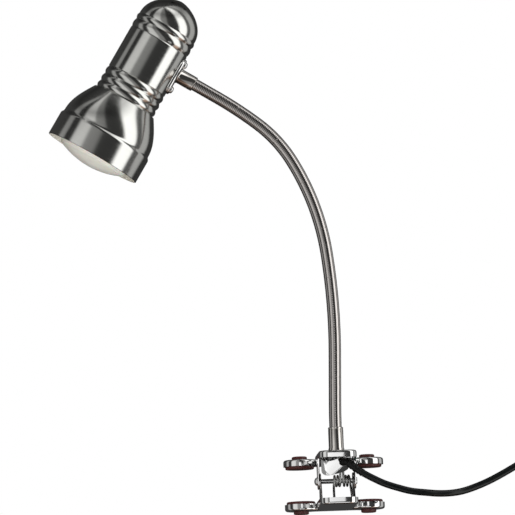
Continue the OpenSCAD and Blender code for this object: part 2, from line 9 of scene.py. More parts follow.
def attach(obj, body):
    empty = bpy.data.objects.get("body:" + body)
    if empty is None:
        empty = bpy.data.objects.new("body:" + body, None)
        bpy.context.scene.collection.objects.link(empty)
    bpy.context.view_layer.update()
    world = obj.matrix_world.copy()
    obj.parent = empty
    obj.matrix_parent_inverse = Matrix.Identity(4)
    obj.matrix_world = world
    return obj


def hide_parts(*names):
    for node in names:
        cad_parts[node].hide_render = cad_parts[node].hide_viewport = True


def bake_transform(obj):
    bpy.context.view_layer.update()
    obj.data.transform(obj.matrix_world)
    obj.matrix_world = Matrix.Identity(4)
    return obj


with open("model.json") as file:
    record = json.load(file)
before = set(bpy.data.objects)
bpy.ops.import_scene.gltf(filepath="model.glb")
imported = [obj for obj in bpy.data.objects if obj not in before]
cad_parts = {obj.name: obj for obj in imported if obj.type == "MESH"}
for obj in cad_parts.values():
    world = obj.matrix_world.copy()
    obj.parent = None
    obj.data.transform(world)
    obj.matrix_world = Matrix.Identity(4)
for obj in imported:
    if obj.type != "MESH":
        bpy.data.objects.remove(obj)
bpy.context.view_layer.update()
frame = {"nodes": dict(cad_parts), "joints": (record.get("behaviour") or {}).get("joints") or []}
joints = {joint["name"]: joint for joint in frame["joints"]}
scene = bpy.context.scene
scene.view_settings.view_transform = "Standard"

# Lengths are in millimetres, and MM makes metres of them. The clamp, the lead and the shelf are drawn
# about the clamp's middle plane, which lies MID to the right of the frame's origin.
MM = 0.001
MID = 27.0
CLAMP = Matrix.Translation((MID * MM, 0, 0))


# ---- helpers -----------------------------------------------------------------

def shade(obj, angle):
    """Smooth shading, with edges sharper than the angle in degrees left sharp."""
    obj.data.polygons.foreach_set("use_smooth", [True] * len(obj.data.polygons))
    obj.data.set_sharp_from_angle(angle=math.radians(angle))


def put(name, bm, mats, place=None, smooth=40):
    """Makes an object of a bmesh in millimetres, with its own place."""
    bmesh.ops.recalc_face_normals(bm, faces=bm.faces)
    bm.transform(Matrix.Scale(MM, 4))
    mesh = bpy.data.meshes.new(name)
    bm.to_mesh(mesh)
    bm.free()
    for mat in mats:
        mesh.materials.append(mat)
    obj = bpy.data.objects.new(name, mesh)
    scene.collection.objects.link(obj)
    if place is not None:
        obj.matrix_world = place
    shade(obj, smooth)
    return obj


def piece(obj, body, slot, *nodes):
    """Hangs an object on its body and hides the CAD nodes that it replaces. slot is not used."""
    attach(obj, body)
    if nodes:
        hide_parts(*nodes)
    return obj


def join(*bms):
    """Makes one bmesh of several, which are used up."""
    whole = bmesh.new()
    for bm in bms:
        mesh = bpy.data.meshes.new("part")
        bm.to_mesh(mesh)
        bm.free()
        whole.from_mesh(mesh)
        bpy.data.meshes.remove(mesh)
    return whole


def moved(bm, matrix):
    bm.transform(matrix)
    return bm


def at(x, y, z):
    return Matrix.Translation((x, y, z))


def turn(degrees, axis):
    return Matrix.Rotation(math.radians(degrees), 4, axis)


def arc(cx, cy, radius, start, end, steps):
    """Points on an arc, from start to end in degrees."""
    angles = [math.radians(start + (end - start) * i / steps) for i in range(steps + 1)]
    return [(cx + radius * math.cos(angle), cy + radius * math.sin(angle)) for angle in angles]


def catmull(points, steps):
    """A smooth curve through the points, with that many steps in each stretch."""
    points = [Vector(point) for point in points]
    last = len(points) - 1
    smooth = []
    for i in range(last):
        a, b, c, d = points[max(i - 1, 0)], points[i], points[i + 1], points[min(i + 2, last)]
        for j in range(steps):
            t = j / steps
            smooth.append(0.5 * (2 * b + (c - a) * t + (2 * a - 5 * b + 4 * c - d) * t * t
                                 + (3 * b - a - 3 * c + d) * t ** 3))
    return smooth + [points[-1]]


def bridge(bm, rings, closed=False):
    """Faces from each ring of corners to the next, and from the last to the first if closed."""
    following = rings[1:] + (rings[:1] if closed else [])
    for ring, other in zip(rings, following):
        for k in range(len(ring)):
            after = (k + 1) % len(ring)
            bm.faces.new((ring[k], ring[after], other[after], other[k]))


def lathe(profile, segs=96, closed=False, mats=None):
    """Turns (radius, height) points about Z. mats gives a material index for each stretch."""
    bm = bmesh.new()
    angles = [math.tau * k / segs for k in range(segs)]
    rings = []
    for radius, z in profile:
        if radius < 1e-6:
            rings.append([bm.verts.new((0, 0, z))])
        else:
            rings.append([bm.verts.new((radius * math.cos(a), radius * math.sin(a), z)) for a in angles])
    stretches = list(zip(rings, rings[1:]))
    if closed:
        stretches.append((rings[-1], rings[0]))
    for i, (ring, other) in enumerate(stretches):
        for k in range(segs):
            after = (k + 1) % segs
            corners = [ring[0]] if len(ring) == 1 else [ring[k], ring[after]]
            corners += [other[0]] if len(other) == 1 else [other[after], other[k]]
            if len(corners) > 2:
                bm.faces.new(corners).material_index = mats[i] if mats else 0
    return bm


def tube(points, radii, sides, first=Vector((0, 0, 1))):
    """A round tube along points, with a radius for each. Its first corners lie towards first."""
    bm = bmesh.new()
    last = len(points) - 1
    side = first
    rings = []
    for i, point in enumerate(points):
        along = (points[min(i + 1, last)] - points[max(i - 1, 0)]).normalized()
        side = (side - side.dot(along) * along).normalized()
        other = along.cross(side)
        ring = []
        for k in range(sides):
            angle = math.tau * k / sides
            ring.append(bm.verts.new(point + radii[i] * (math.cos(angle) * side + math.sin(angle) * other)))
        rings.append(ring)
    bridge(bm, rings)
    bm.faces.new(rings[0][::-1])
    bm.faces.new(rings[-1])
    return bm


def prism(outline, low, high, bevel=0.0, segs=2):
    """An upright prism of a plan outline, with the edges of its two ends rounded."""
    bm = bmesh.new()
    rings = [[bm.verts.new((x, y, z)) for x, y in outline] for z in (low, high)]
    ends = [bm.faces.new(rings[0][::-1]), bm.faces.new(rings[1])]
    bridge(bm, rings)
    if bevel:
        edges = [edge for face in ends for edge in face.edges]
        bmesh.ops.bevel(bm, geom=edges, offset=bevel, segments=segs, affect="EDGES", profile=0.5)
    return bm


def dressed(node, width):
    """A copy of a CAD node with its edges rounded, to stand for it."""
    bm = bmesh.new()
    bm.from_mesh(frame["nodes"][node].data)
    bmesh.ops.remove_doubles(bm, verts=bm.verts, dist=1e-6)
    bmesh.ops.dissolve_limit(bm, angle_limit=math.radians(2), verts=bm.verts, edges=bm.edges)
    sharp = [edge for edge in bm.edges
             if len(edge.link_faces) == 2 and edge.calc_face_angle(0) > math.radians(35)]
    bmesh.ops.bevel(bm, geom=sharp, offset=width * MM, segments=3, affect="EDGES", profile=0.5,
                    clamp_overlap=True)
    bm.transform(Matrix.Scale(1 / MM, 4))
    return bm


def add_node(tree, kind, inputs=None, **settings):
    """Adds a shader node. Each input is a value, or the output of another node that feeds it."""
    added = tree.nodes.new("ShaderNode" + kind)
    for key, value in settings.items():
        setattr(added, key, value)
    for key, value in (inputs or {}).items():
        if isinstance(value, bpy.types.NodeSocket):
            tree.links.new(value, added.inputs[key])
        else:
            added.inputs[key].default_value = value
    return added


# ---- materials ---------------------------------------------------------------

def material(name, color, metallic=0.0, rough=0.4, spread=0.05, scale=400.0, bump=0.0, bump_scale=900.0,
             tint=0.04, stretch=(1, 1, 1), **sockets):
    """A Principled material with noise in its colour and roughness, and a fine bump."""
    made = bpy.data.materials.new(name)
    made.use_nodes = True
    tree = made.node_tree
    bsdf = tree.nodes["Principled BSDF"]
    bsdf.inputs["Metallic"].default_value = metallic
    for key, value in sockets.items():
        bsdf.inputs[key.replace("_", " ")].default_value = value
    coord = add_node(tree, "TexCoord")
    mapping = add_node(tree, "Mapping", {"Scale": stretch, "Vector": coord.outputs["Object"]})
    place = mapping.outputs["Vector"]
    noise = add_node(tree, "TexNoise", {"Scale": scale, "Detail": 4, "Vector": place})
    ramp = add_node(tree, "ValToRGB", {"Fac": noise.outputs["Fac"]})
    dark, light = ramp.color_ramp.elements
    dark.position = 0.3
    light.position = 0.7
    dark.color = [channel * (1 - tint) for channel in color] + [1]
    light.color = [min(channel * (1 + tint), 1) for channel in color] + [1]
    tree.links.new(ramp.outputs["Color"], bsdf.inputs["Base Color"])
    span = add_node(tree, "MapRange", {"From Min": 0.3, "From Max": 0.7, "To Min": rough - spread,
                                       "To Max": rough + spread, "Value": noise.outputs["Fac"]})
    tree.links.new(span.outputs["Result"], bsdf.inputs["Roughness"])
    if bump:
        fine = add_node(tree, "TexNoise", {"Scale": bump_scale, "Detail": 3, "Vector": place})
        relief = add_node(tree, "Bump", {"Strength": bump, "Distance": 0.0002, "Height": fine.outputs["Fac"]})
        tree.links.new(relief.outputs["Normal"], bsdf.inputs["Normal"])
    return made


def turned(name, color, rough, anisotropic, **more):
    """A lathe-turned metal: fine rings about the piece's own Z axis."""
    made = material(name, color, metallic=1.0, rough=rough, stretch=(0.04, 0.04, 1), scale=2600, **more)
    bsdf = made.node_tree.nodes["Principled BSDF"]
    bsdf.inputs["Anisotropic"].default_value = anisotropic
    bsdf.inputs["Anisotropic Rotation"].default_value = 0.25
    tangent = add_node(made.node_tree, "Tangent", direction_type="RADIAL", axis="Z")
    made.node_tree.links.new(tangent.outputs["Tangent"], bsdf.inputs["Tangent"])
    return made


nickel = turned("satin_nickel", (0.63, 0.63, 0.61), 0.15, 0.25, spread=0.03, bump=0.05, bump_scale=5200)
bright = material("chrome", (0.84, 0.84, 0.84), metallic=1.0, rough=0.07, spread=0.02, scale=160,
                  bump=0.02, bump_scale=90, tint=0.015)
plate = material("nickel_plate", (0.74, 0.71, 0.68), metallic=1.0, rough=0.10, spread=0.03, scale=300,
                 bump=0.05, bump_scale=300, tint=0.03)
hose_metal = material("hose_steel", (0.56, 0.53, 0.515), metallic=1.0, rough=0.12, spread=0.03, scale=300,
                      bump=0.02, tint=0.04)
zinc = material("zinc_steel", (0.58, 0.58, 0.57), metallic=1.0, rough=0.27, spread=0.08, scale=500, bump=0.1)
brass = material("brass", (0.72, 0.53, 0.25), metallic=1.0, rough=0.25, spread=0.07, scale=400, bump=0.08)
enamel = material("shade_enamel", (0.86, 0.83, 0.75), rough=0.38, spread=0.05, scale=90,
                  bump=0.06, bump_scale=700, tint=0.015)
opal = material("opal_glass", (0.93, 0.885, 0.80), rough=0.32, spread=0.05, scale=40,
                bump=0.04, bump_scale=900, tint=0.015,
                Coat_Weight=0.35, Coat_Roughness=0.12, Subsurface_Weight=0.15)
mirror_glass = material("silvered_glass", (0.80, 0.79, 0.77), metallic=1.0, rough=0.22, scale=60, tint=0.03)
pad_rubber = material("pad_rubber", (0.060, 0.014, 0.012), rough=0.48, spread=0.08, scale=500,
                      bump=0.25, bump_scale=1600, tint=0.12)
pvc = material("black_pvc", (0.004, 0.005, 0.005), rough=0.22, spread=0.04, scale=260,
               bump=0.04, bump_scale=700, tint=0.15, Specular_IOR_Level=0.3)
boot_rubber = material("boot_rubber", (0.004, 0.004, 0.004), rough=0.4, spread=0.06, scale=400,
                       bump=0.08, bump_scale=1300, tint=0.15, Specular_IOR_Level=0.25)
plastic = material("black_plastic", (0.017, 0.017, 0.018), rough=0.42, spread=0.06, scale=300,
                   bump=0.35, bump_scale=2200, tint=0.1)
gloss = material("rocker_plastic", (0.035, 0.035, 0.037), rough=0.18, spread=0.04, scale=200,
                 bump=0.05, tint=0.08, Coat_Weight=0.3)
ceramic = material("ceramic_white", (0.87, 0.86, 0.82), rough=0.22, spread=0.06, scale=60,
                   bump=0.1, bump_scale=260, tint=0.02, Coat_Weight=0.4)
core_red = material("core_insulation", (0.25, 0.09, 0.04), rough=0.35, scale=300, bump=0.1)
tie_rubber = material("tie_band", (0.028, 0.028, 0.03), rough=0.75, spread=0.08, scale=1500,
                      bump=0.6, bump_scale=2600, tint=0.2)

# CAD nodes that show as they are, with these materials
KEPT = {
    "head_locknut": zinc, "holder_strap": zinc, "holder_nipple": brass, "holder_nut": brass,
    "lampholder_shell": ceramic, "contact_block": ceramic, "terminal_screws": brass, "screw_shell": brass,
    "centre_contact": brass, "lead_cores": core_red, "bulb_contact": plastic, "base_locknut": zinc,
    "cable_elbow": boot_rubber, "switch_screws": zinc,
}
KEPT.update({"lead_%d" % i: pvc for i in range(9)})
for node, mat in KEPT.items():
    kept = frame["nodes"][node]
    kept.data.materials.clear()
    kept.data.materials.append(mat)
    shade(kept, 35)


# ---- camera ------------------------------------------------------------------

AZIMUTH = math.radians(3)
ELEVATION = math.radians(5)
ROLL = math.radians(2.2)
DISTANCE = 12.0
PIXELS = 515
PIXEL_SIZE = 0.80
AIM_RIGHT, AIM_ABOVE = -0.0542, 0.1710
SENSOR = 36

ahead = Vector((math.sin(AZIMUTH) * math.cos(ELEVATION), math.cos(AZIMUTH) * math.cos(ELEVATION),
                math.sin(ELEVATION)))
right = Vector((math.cos(AZIMUTH), -math.sin(AZIMUTH), 0))
above = right.cross(ahead)
aim = CLAMP.translation + right * AIM_RIGHT + above * AIM_ABOVE
cam_data = bpy.data.cameras.new("camera")
cam = bpy.data.objects.new("camera", cam_data)
scene.collection.objects.link(cam)
scene.camera = cam
cam_data.sensor_width = SENSOR
cam_data.lens = SENSOR * DISTANCE / (PIXELS * PIXEL_SIZE * MM)
cam_data.clip_start, cam_data.clip_end = 0.05, 60
picture_right = right * math.cos(ROLL) - above * math.sin(ROLL)
picture_up = above * math.cos(ROLL) + right * math.sin(ROLL)
rotation = Matrix((picture_right, picture_up, -ahead)).transposed().to_4x4()
cam.matrix_world = Matrix.Translation(aim - ahead * DISTANCE) @ rotation


# ---- mains lead --------------------------------------------------------------

CORD_R = 2.75
CORD_D = 2 * CORD_R
SWITCH_X, SWITCH_Y, SWITCH_Z = 198, -31.25, 8
# From the strain relief, in a sag, up onto the shelf and into the switch
RUN = [(20, -61.6, -9), (28, -61.6, -13.5), (37, -62, -18), (47, -61.5, -21.5), (58, -60, -24.5),
       (70, -58, -26), (80, -55, -26.8), (90, -52, -26.6), (100, -48, -25), (111, -44.5, -21.5),
       (122, -41.5, -17), (133, -39, -11.5), (144, -36.8, -5.5), (154, -34.8, -0.2), (163, -33.2, 3),
       (171, -32.2, 3.7), (180, -31.5, 4.9), (190, -31.25, 7), (SWITCH_X, SWITCH_Y, SWITCH_Z)]
# From the switch to the coil, and from the coil to the plug
LINK = [(258, -31.25, 8), (266, -31.25, 7), (274, -31.25, 5), (282, -31.25, 3.2)]
TAIL = [(281, 47, 8.25), (272, 45.6, 8.25), (263, 42.6, 8.1), (254, 38.3, 7.7), (245, 33.9, 7.3),
        (236, 30.9, 7.05), (228, 30, 7)]
COIL_X, COIL_Y = 290, 8
TURN_RADII = [39.25 - CORD_D * i for i in range(4)]
LOWER_LAYER, UPPER_LAYER = CORD_R, 3 * CORD_R


def ease(value, start, end):
    """Goes smoothly from 0 at start to 1 at end."""
    t = min(max((value - start) / (end - start), 0), 1)
    return t * t * (3 - 2 * t)


def coil_line():
    """Four turns inwards on the shelf and three and a half outwards on top of them."""
    points = []
    for wound in range(0, int(7.5 * 360) + 1, 6):
        turns, rest = divmod(wound, 360)
        degrees = rest - 90
        if turns < 4:
            radius = TURN_RADII[turns] - (CORD_D * ease(degrees, 205, 270) if turns < 3 else 0)
            z = LOWER_LAYER + (CORD_D * ease(degrees, 140, 220) if turns == 3 else 0)
        else:
            radius = TURN_RADII[7 - turns] + (CORD_D * ease(degrees, 90, 155) if turns < 7 else 0)
            z = UPPER_LAYER
        points.append(Vector((COIL_X + radius * math.cos(math.radians(degrees)),
                              COIL_Y + radius * math.sin(math.radians(degrees)), z)))
    return points


coil = coil_line()
inside_switch = [Vector((SWITCH_X + 6 * i, SWITCH_Y, SWITCH_Z)) for i in range(1, 10)]
cord_points = catmull(RUN, 6) + inside_switch + catmull(LINK + [coil[0]], 5)[:-1] + coil + catmull(TAIL, 4)
curve = bpy.data.curves.new("mains_lead", "CURVE")
curve.dimensions = "3D"
spline = curve.splines.new("POLY")
spline.points.add(len(cord_points) - 1)
for point, spot in zip(spline.points, cord_points):
    point.co = ((spot.x + MID) * MM, spot.y * MM, spot.z * MM, 1)
curve.bevel_depth = CORD_R * MM
curve.bevel_resolution = 5
curve.use_fill_caps = True
curve.materials.append(pvc)
lead = bpy.data.objects.new("mains_lead", curve)
scene.collection.objects.link(lead)
piece(lead, "clamp", "black_pvc", "cord_run", "cord_link", "cord_coil", "cord_tail")

# The tapered strain relief, with shallow ribs
RELIEF = [(3, -56, -0.4), (6.2, -59, 0.8), (10.2, -61.4, -1.6), (15, -61.9, -5.4), RUN[0]]
relief_line = catmull(RELIEF, 12)
last = len(relief_line) - 1
relief_radii = [3.7 - 0.7 * i / last - (0.3 if 10 < i < last - 4 and i % 6 < 3 else 0)
                for i in range(last + 1)]
boot = piece(put("strain_relief_boot", tube(relief_line, relief_radii, 24), [boot_rubber], CLAMP),
             "clamp", "black_pvc", "strain_relief")


# ---- hand switch, plug, coil tie ---------------------------------------------

base = piece(put("switch_lower_half", dressed("switch_base", 0.7), [plastic], smooth=30),
             "clamp", "black_plastic", "switch_base")
cover = piece(put("switch_upper_half", dressed("switch_cover", 0.7), [plastic], smooth=30),
              "clamp", "black_plastic", "switch_cover")
rocker = piece(put("switch_rocker_cap", dressed("switch_rocker", 0.5), [gloss], smooth=30),
               "rocker", "rocker_plastic", "switch_rocker")

PLUG_X, PLUG_Y, PLUG_Z = 192, 30, 7
PLUG_HALF_PLAN = [(0.4, 17.3), (8, 17.3), (14, 15.2), (22, 10.6), (29, 7.4), (35.6, 5.6)]
plug_plan = [(x, -y) for x, y in PLUG_HALF_PLAN] + PLUG_HALF_PLAN[::-1]
housing = [prism(plug_plan, 0.0, 2 * PLUG_Z, 1.6, 4)]
for i in range(4):
    foot, crest = 4.6 - 0.12 * i, 6.2 - 0.25 * i
    rib = lathe([(foot, 0), (crest, 0.5), (crest, 1.5), (foot, 2)], 32)
    rib = moved(rib, at(26 + 2.4 * i, 0, PLUG_Z) @ turn(90, "Y"))
    bmesh.ops.contextual_create(rib, geom=[edge for edge in rib.edges if edge.is_boundary])
    housing.append(rib)
plug = piece(put("plug_housing", moved(join(*housing), at(PLUG_X, PLUG_Y, 0)), [plastic], CLAMP, smooth=35),
             "clamp", "black_plastic", "plug_body")

PIN_R, PIN_SPACING = 2, 18.6
PIN_PROFILE = [(0, 19)] + [(PIN_R * math.sin(math.radians(a)), 17.4 + 1.6 * math.cos(math.radians(a)))
                           for a in range(15, 91, 15)] + [(2, 9.6), (2, 9.5), (1.9, -2), (0, -2)]
SLEEVE_PROFILE = [(0, 9.6), (1.98, 9.6), (1.98, -1), (0, -1)]


def pin_pair(profile):
    """The same turned shape at both pins of the plug."""
    spots = [at(PLUG_X, PLUG_Y + PIN_SPACING / 2 * side, PLUG_Z) @ turn(-90, "Y") for side in (-1, 1)]
    return join(*[moved(lathe(profile, 32), spot) for spot in spots])


pins = piece(put("plug_contacts", pin_pair(PIN_PROFILE), [plate], CLAMP),
             "clamp", "nickel_plate", "plug_pins")
sleeves = piece(put("plug_contact_sleeves", pin_pair(SLEEVE_PROFILE), [plastic], CLAMP),
                "clamp", "black_plastic")

TIE_HALF, TIE_HIGH, TIE_SHEET, TIE_HALF_WIDTH = 11.05, 11.05, 0.9, 3


def tie_section(extra):
    """The rounded section of the coil that the tie goes round, grown by extra."""
    return (arc(TIE_HALF - 3, TIE_HIGH - 3, 3 + extra, 0, 90, 6)
            + arc(-TIE_HALF + 3, TIE_HIGH - 3, 3 + extra, 90, 180, 6)
            + arc(-TIE_HALF + 1, 1, 1 + extra, 180, 270, 4) + arc(TIE_HALF - 1, 1, 1 + extra, 270, 360, 4))


band = bmesh.new()
tie_corners = [(TIE_SHEET, -TIE_HALF_WIDTH), (TIE_SHEET, TIE_HALF_WIDTH), (0, TIE_HALF_WIDTH),
               (0, -TIE_HALF_WIDTH)]
tie_loops = [[band.verts.new((x, y, max(z, 0.02))) for x, z in tie_section(extra)]
             for extra, y in tie_corners]
bridge(band, tie_loops, closed=True)
tie = piece(put("coil_tie_band", moved(band, at(COIL_X + 31, COIL_Y, 0)), [tie_rubber], CLAMP),
            "clamp", "black_pvc", "coil_tie")


# ---- the head's own frame ----------------------------------------------------

# The hose is made of seven whole segments between two halves. Its end lies REACH beside the head's
# axis and SEAT along it. away is the side of the head where the neck comes in, local +X here.
SEGMENT = 39.9
REACH, SEAT = 41.5, 52.5
UPRIGHT = Vector((0, 0, 1))
axis = Vector(joints["bulb_out"]["axis"]).normalized()
away = -(UPRIGHT - UPRIGHT.dot(axis) * axis).normalized()
across = axis.cross(away)
tip = Vector(joints["neck_sway_8"]["pos_m"]) - away * (SEGMENT / 2 + REACH) * MM - axis * SEAT * MM
HEAD = Matrix.Translation(tip) @ Matrix((away, across, axis)).transposed().to_4x4()


# ---- shade and end cap -------------------------------------------------------

BODY_R, RIM_R, HEAD_LENGTH, WALL = 25.5, 40.0, 144.0, 0.8
FLARE_START, FLARE_END, FLARE_STEPS = 92.4, 121, 32
DOME_HIGH = 23


def bead(start, end, radius, height):
    """A half-round ring that stands height proud of the radius."""
    return [(radius + height * math.sin(math.pi * i / 12), start + (end - start) * i / 12)
            for i in range(13)]


dome = [((BODY_R - 0.4) * math.sin(math.radians(a)) ** 1.25, DOME_HIGH * (1 - math.cos(math.radians(a))))
        for a in [0, 3] + list(range(6, 88, 3))]
cap_outside = dome + [(BODY_R - 0.4, 22.6), (BODY_R - 0.4, 23.6)] + bead(24, 29.1, BODY_R - 0.5, 0.9)
cap_inside = [(BODY_R - 1.4, 29.1), (BODY_R - 1.4, 36), (BODY_R - 2.2, 36), (BODY_R - 2.2, DOME_HIGH)]
cap_inside += [(max(r - 1.8, 0), z + 0.8 * (1 - z / DOME_HIGH))
               for r, z in dome[::-1] if r > 1.8 or r == 0]
cap = put("head_dome", lathe(cap_outside + cap_inside, 128), [nickel], HEAD)

# Eight vent holes, cut through the dome
VENT_PROFILE = [(0, 0), (1.25, 0), (1.25, 20), (0, 20)]
vents = []
for i in range(8):
    slant = at(0, 0, DOME_HIGH) @ turn(142, "Y") @ at(0, 0, 12)
    vents.append(moved(lathe(VENT_PROFILE, 20), turn(22.5 + 45 * i, "Z") @ slant))
cutter = put("cutter", join(*vents), [], HEAD)
cut = cap.modifiers.new("vents", "BOOLEAN")
cut.object, cut.operation, cut.solver = cutter, "DIFFERENCE", "EXACT"
bpy.context.view_layer.update()
vented = bpy.data.meshes.new_from_object(cap.evaluated_get(bpy.context.evaluated_depsgraph_get()))
cap.modifiers.clear()
cap.data = vented
bpy.data.objects.remove(cutter)
shade(cap, 30)
piece(cap, "head", "satin_nickel", "end_cap")

flare = [(27 + (RIM_R - 1.6 - 27) * math.sin(math.pi / 2 * i / FLARE_STEPS),
          FLARE_START + (FLARE_END - FLARE_START) * i / FLARE_STEPS) for i in range(FLARE_STEPS + 1)]
shell_outside = [(BODY_R - 1.3, 29.2), (BODY_R - 0.6, 29.2)] + bead(29.4, 36.4, BODY_R - 0.5, 0.9)
shell_outside += [(BODY_R - 0.05, 36.9), (BODY_R, 37.5), (BODY_R, 72.6)]
shell_outside += bead(73.2, 79.6, BODY_R - 0.6, 1.1) + bead(80, 86, BODY_R - 0.5, 1.1)
shell_outside += bead(86.4, 92, BODY_R - 0.3, 1) + flare
shell_outside += [(38.6, 122), (38.9, 122.6), (39.6, 123.4), (39.9, 124.2), (RIM_R, 125),
                  (RIM_R, HEAD_LENGTH - 0.3), (RIM_R - 0.25, HEAD_LENGTH)]
shell_inside = [(RIM_R - WALL, HEAD_LENGTH), (RIM_R - WALL, 125)] + [(r - WALL, z) for r, z in flare[::-1]]
shell_inside += [(BODY_R - 1.1, z) for z in (92, 91, 37)] + [(BODY_R - 1.35, 36.2), (BODY_R - 1.35, 29.4)]
shell_slots = [0] * len(shell_outside) + [1] * (len(shell_inside) + 1)
shell = lathe(shell_outside + shell_inside, 160, closed=True, mats=shell_slots)
piece(put("shade_shell", shell, [nickel, enamel], HEAD, smooth=38), "head", "satin_nickel", "shade")

# The saddle's two small screws, with plain domed heads
SADDLE_SHEET = 1.8
SCREW_R = 2.9
screw_profile = [(0, -5), (1.4, -5), (1.4, 0), (SCREW_R, 0), (SCREW_R, 0.4)]
screw_profile += [(SCREW_R * math.cos(math.radians(a)), 0.4 + 1.7 * math.sin(math.radians(a)))
                  for a in range(10, 90, 10)] + [(0, 2.1)]
screws = [moved(lathe(screw_profile, 40), at(BODY_R + SADDLE_SHEET, 0, z) @ turn(90, "Y"))
          for z in (43.3, 65.5)]
piece(put("bracket_screw_heads", join(*screws), [bright], HEAD), "head", "chrome", "bracket_screws")

# The saddle of the neck, curved over the body, with rounded ends
SADDLE_FROM, SADDLE_LENGTH, SADDLE_HALF = 38.8, 31.2, 6.5
SADDLE_ROWS, SADDLE_COLUMNS = 40, 14
saddle = bmesh.new()
top, low = [], []
for i in range(SADDLE_ROWS + 1):
    z = SADDLE_FROM + SADDLE_LENGTH * i / SADDLE_ROWS
    to_end = min(z - SADDLE_FROM, SADDLE_FROM + SADDLE_LENGTH - z)
    half = SADDLE_HALF * math.sqrt(max(1 - (max(SADDLE_HALF - to_end, 0) / SADDLE_HALF) ** 2, 0))
    top_row, low_row = [], []
    for k in range(SADDLE_COLUMNS + 1):
        y = half * (2 * k / SADDLE_COLUMNS - 1)
        edge = 1 - min(min(half - abs(y), to_end) / 0.8, 1)
        lift = SADDLE_SHEET - 0.9 * edge ** 2
        top_row.append(saddle.verts.new((math.sqrt((BODY_R + lift) ** 2 - y * y), y, z)))
        low_row.append(saddle.verts.new((math.sqrt((BODY_R + 0.02) ** 2 - y * y), y, z)))
    top.append(top_row)
    low.append(low_row)
for i in range(SADDLE_ROWS):
    for k in range(SADDLE_COLUMNS):
        saddle.faces.new((top[i][k], top[i][k + 1], top[i + 1][k + 1], top[i + 1][k]))
        saddle.faces.new((low[i][k], low[i + 1][k], low[i + 1][k + 1], low[i][k + 1]))
    saddle.faces.new((top[i][0], top[i + 1][0], low[i + 1][0], low[i][0]))
    saddle.faces.new((top[i][-1], low[i][-1], low[i + 1][-1], top[i + 1][-1]))
bmesh.ops.remove_doubles(saddle, verts=saddle.verts, dist=1e-4)
piece(put("neck_saddle", saddle, [bright], HEAD, smooth=60), "head", "chrome", "neck_bracket")

# The ferrule at the head, with a fine groove at its open end and a foot on the saddle
HEAD_FERRULE = [(3.1, 0), (5.7, 0), (6, 0.3), (6, 1.2), (5.75, 1.45), (6, 1.7), (6, 13.2), (6.5, 14.0),
                (7.0, 14.25), (4.9, 14.3), (4.9, 20.5), (3.1, 20.5)]
collar = moved(lathe(HEAD_FERRULE, 64, closed=True), at(REACH, 0, SEAT) @ turn(-90, "Y"))
piece(put("head_collar", collar, [plate], HEAD), "head", "nickel_plate", "head_ferrule")


# ---- bulb --------------------------------------------------------------------

BULB_NECK_R, BULB_R, CROWN_R, CROWN_Z = 13.2, 31.5, 66.0, 151.2
flank = []
for i in range(33):
    widening = 0.35 * i / 32 + 0.65 * (1 - math.cos(math.pi / 2 * i / 32))
    flank.append((BULB_NECK_R + (BULB_R - BULB_NECK_R) * widening, 74.6 + 59.4 * i / 32))
shoulder = [(BULB_R - 3.5 + 3.5 * math.cos(math.radians(a)), 137 + 6 * math.sin(math.radians(a)))
            for a in range(0, 61, 6)]
crown = [(CROWN_R * math.sin(math.radians(a)), CROWN_Z - CROWN_R * (1 - math.cos(math.radians(a))))
         for a in [26 - 1.3 * i for i in range(1, 21)]]
bulb_slots = [1] * len(flank) + [0] * (len(shoulder) + len(crown) + 1)
glass = lathe([(12.6, 74.6)] + flank + shoulder + crown, 128, mats=bulb_slots)
piece(put("reflector_bulb", glass, [opal, mirror_glass], HEAD, smooth=50),
      "bulb", "opal_glass", "bulb_glass")

screw_cap = [(6, 51.2), (10, 51.2)]
for i in range(6):
    z = 54.5 + 3.1 * i
    screw_cap += [(12.1, z), (12.5, z + 0.8), (12.9, z + 1.55), (12.5, z + 2.3)]
screw_cap += [(12.1, 73.2), (12.9, 74.2), (12.9, 74.6), (12.2, 74.6), (11.8, 54.5), (6, 53)]
piece(put("bulb_screw_cap", lathe(screw_cap, 64, closed=True), [plate], HEAD),
      "bulb", "nickel_plate", "bulb_cap")


# ---- gooseneck ---------------------------------------------------------------

# How far each stretch of the hose bends, in degrees, and how long it is
BENDS = [-2, 0, 4.5, 4.5, 11.5, 11.5, 21, 7, 0]
LENGTHS = [SEGMENT / 2] + [SEGMENT] * 7 + [SEGMENT / 2]
HOSE_BASE, NECK_Y, HOSE_R, BORE_R = 29.0, -52.0, 5.0, 3.3
PITCH, RIDGE = 1.45, 0.17
SIDES, STATION_STEP = 28, 0.2375
FOOT = at(MID, NECK_Y, 0) @ turn(-3, "Z")

# Places along the hose: the length up to there, x, z, and the lean from upright in degrees
stations = [(0.0, 0.0, HOSE_BASE, 0.0)]
for length, bend in zip(LENGTHS, BENDS):
    steps = round(length / STATION_STEP)
    for _ in range(steps):
        s, x, z, lean = stations[-1]
        heading = math.radians(lean + bend / steps / 2)
        stations.append((s + length / steps, x - math.sin(heading) * length / steps,
                         z + math.cos(heading) * length / steps, lean + bend / steps))


def ridge(phase):
    """Height of the wound wire over the hose's core, from 0 to 1 over one turn of the winding."""
    u = phase % 1.0
    return math.sqrt(max(1 - ((u - 0.5) / 0.5) ** 2, 0))


def hose_ring(bm, station, bore):
    """One ring of the hose's wound skin, or of its smooth bore."""
    s, x, z, lean = station
    sideways = Vector((math.cos(math.radians(lean)), 0, math.sin(math.radians(lean))))
    ring = []
    for k in range(SIDES):
        angle = math.tau * k / SIDES
        radius = BORE_R if bore else HOSE_R - RIDGE + RIDGE * ridge(s / PITCH - k / SIDES)
        offset = radius * (math.cos(angle) * sideways + math.sin(angle) * Vector((0, 1, 0)))
        ring.append(bm.verts.new(Vector((x, 0, z)) + offset))
    return ring


